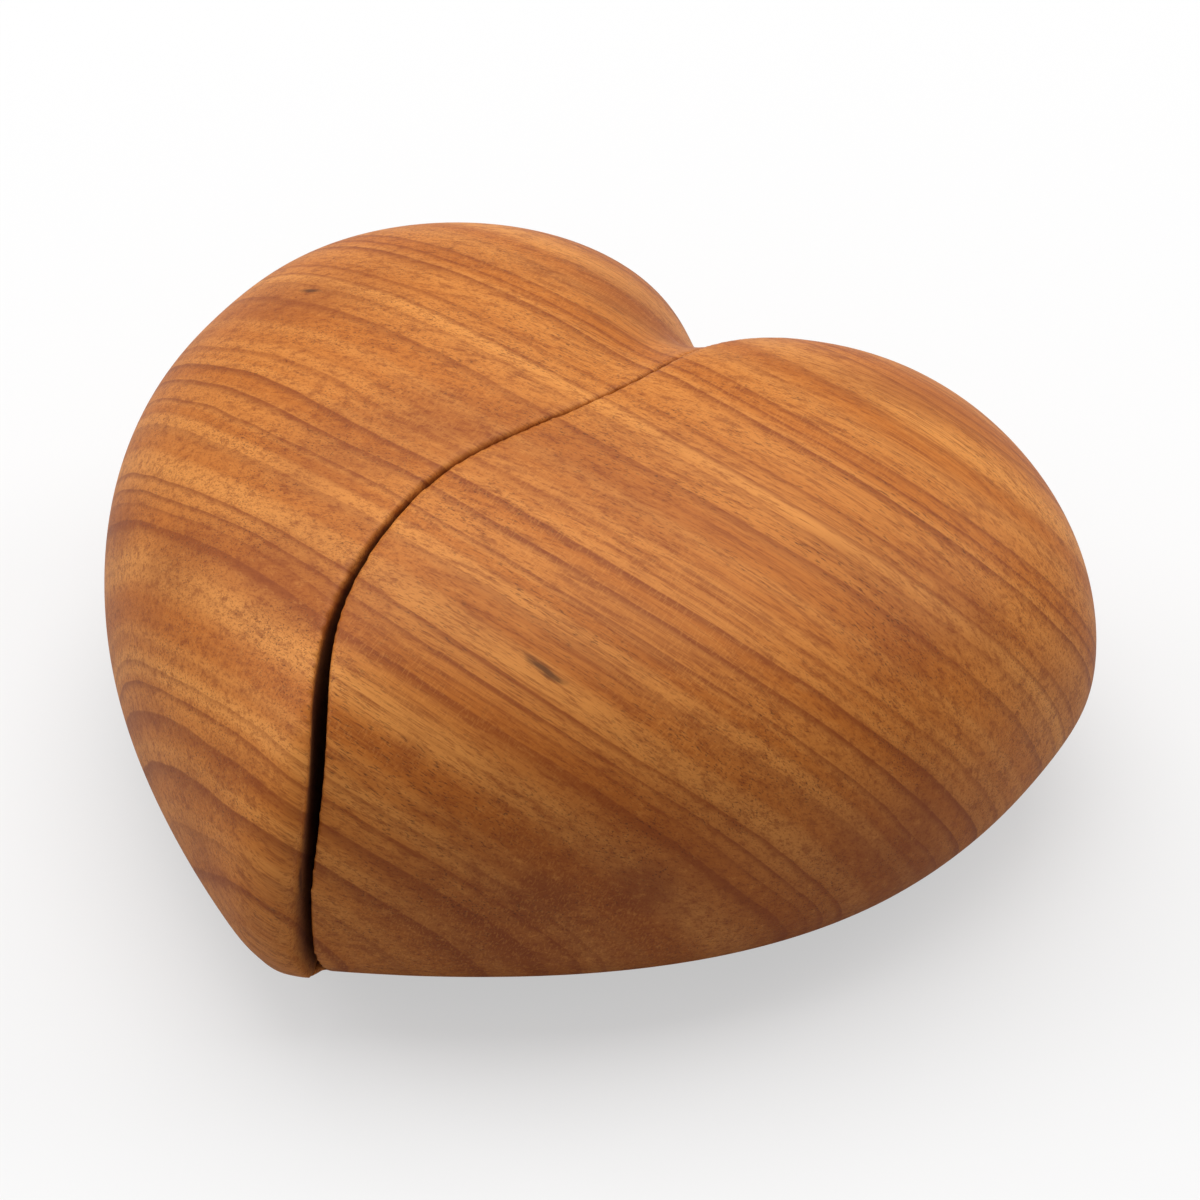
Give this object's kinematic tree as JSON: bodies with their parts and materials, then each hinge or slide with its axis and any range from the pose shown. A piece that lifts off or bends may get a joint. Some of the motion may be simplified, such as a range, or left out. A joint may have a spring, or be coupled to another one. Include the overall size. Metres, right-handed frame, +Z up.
{
  "type": "wind up music box",
  "caption": "Carved wooden heart music box: one half covers a key-wound comb movement, the other swings out on a pivot over a felt-lined tray.",
  "frame": {"origin": "on the plane the heart rests on, under the middle of its widest line", "axes": "+Z up, +Y from the tip towards the notch, +X towards the swinging half"},
  "size_m": [0.1504, 0.1396, 0.0651],
  "materials": {
    "cherry": "hand-rubbed oil, satin, growth bands from pale gold to red-brown",
    "felt": "pressed wool felt, wine red",
    "brass": "turned and lightly tarnished",
    "steel": "brushed",
    "bright_plate": "nickel plate",
    "zinc": "die-cast zinc, matt grey",
    "nylon": "natural nylon"
  },
  "bodies": {
    "heart": {"base": "cherry", "fixed_half": "cherry", "tray_liner": "felt", "pivot_bush": "brass", "pivot_washer": "nylon", "base_magnet": "bright_plate", "bedplate": "zinc", "mount_screws": "steel", "barrel_bridge": "steel", "bridge_screws": "steel", "front_bearing": "steel", "back_bearing": "steel", "comb": "steel", "comb_block": "zinc", "comb_screws": "steel", "bass_weights": "zinc", "governor_frame": "steel", "governor_screws": "steel", "clutch_spring": "steel"},
    "lid": {"swing_half": "cherry", "pivot_screw": "steel", "pivot_insert": "brass", "crank_pin": "steel", "lid_magnet": "bright_plate"},
    "slide": {"stop_slide": "brass"},
    "winder": {"winding_key": "brass", "winding_arbor": "steel"},
    "barrel": {"spring_barrel": "brass", "barrel_cover": "brass", "mainspring": "steel"},
    "cylinder": {"tune_cylinder": "brass", "cylinder_ends": "brass", "cylinder_arbor": "steel", "cylinder_pinion": "brass", "drive_wheel": "brass"},
    "governor": {"governor_wheel": "brass"},
    "fan": {"worm_spindle": "steel", "air_brake": "nylon"}
  },
  "joints": [
    {"name": "lid_swing", "type": "hinge", "parent": "heart", "child": "lid", "pos_m": [0.028, 0.04, 0.0103], "axis": [0, 0, 1], "range_deg": [0, 60]},
    {"name": "slide_travel", "type": "slide", "parent": "heart", "child": "slide", "axis": [1, 0, 0], "range_m": [0, 0.009]},
    {"name": "key_wind", "type": "hinge", "parent": "heart", "child": "winder", "pos_m": [-0.036, -0.0095, 0.015], "axis": [0, 0, 1], "range_deg": [0, 1080]},
    {"name": "cylinder_turn", "type": "hinge", "parent": "heart", "child": "cylinder", "pos_m": [-0.036, 0.0083, 0.025], "axis": [0, 1, 0], "continuous": true},
    {"name": "barrel_turn", "type": "hinge", "parent": "heart", "child": "barrel", "pos_m": [-0.036, -0.0095, 0.032], "axis": [0, 0, 1], "continuous": true},
    {"name": "governor_turn", "type": "hinge", "parent": "heart", "child": "governor", "pos_m": [-0.02783, 0.0301, 0.025], "axis": [0, 1, 0], "continuous": true},
    {"name": "fan_spin", "type": "hinge", "parent": "heart", "child": "fan", "pos_m": [-0.02243, 0.0306, 0.0302], "axis": [0, 0, 1], "continuous": true}
  ],
  "couplings": [
    {"joint": "slide_travel", "follows": "lid_swing", "m_per_rad": 0.0085944},
    {"joint": "barrel_turn", "follows": "cylinder_turn", "ratio": 0.25},
    {"joint": "governor_turn", "follows": "cylinder_turn", "ratio": -6},
    {"joint": "fan_spin", "follows": "cylinder_turn", "ratio": -144}
  ]
}
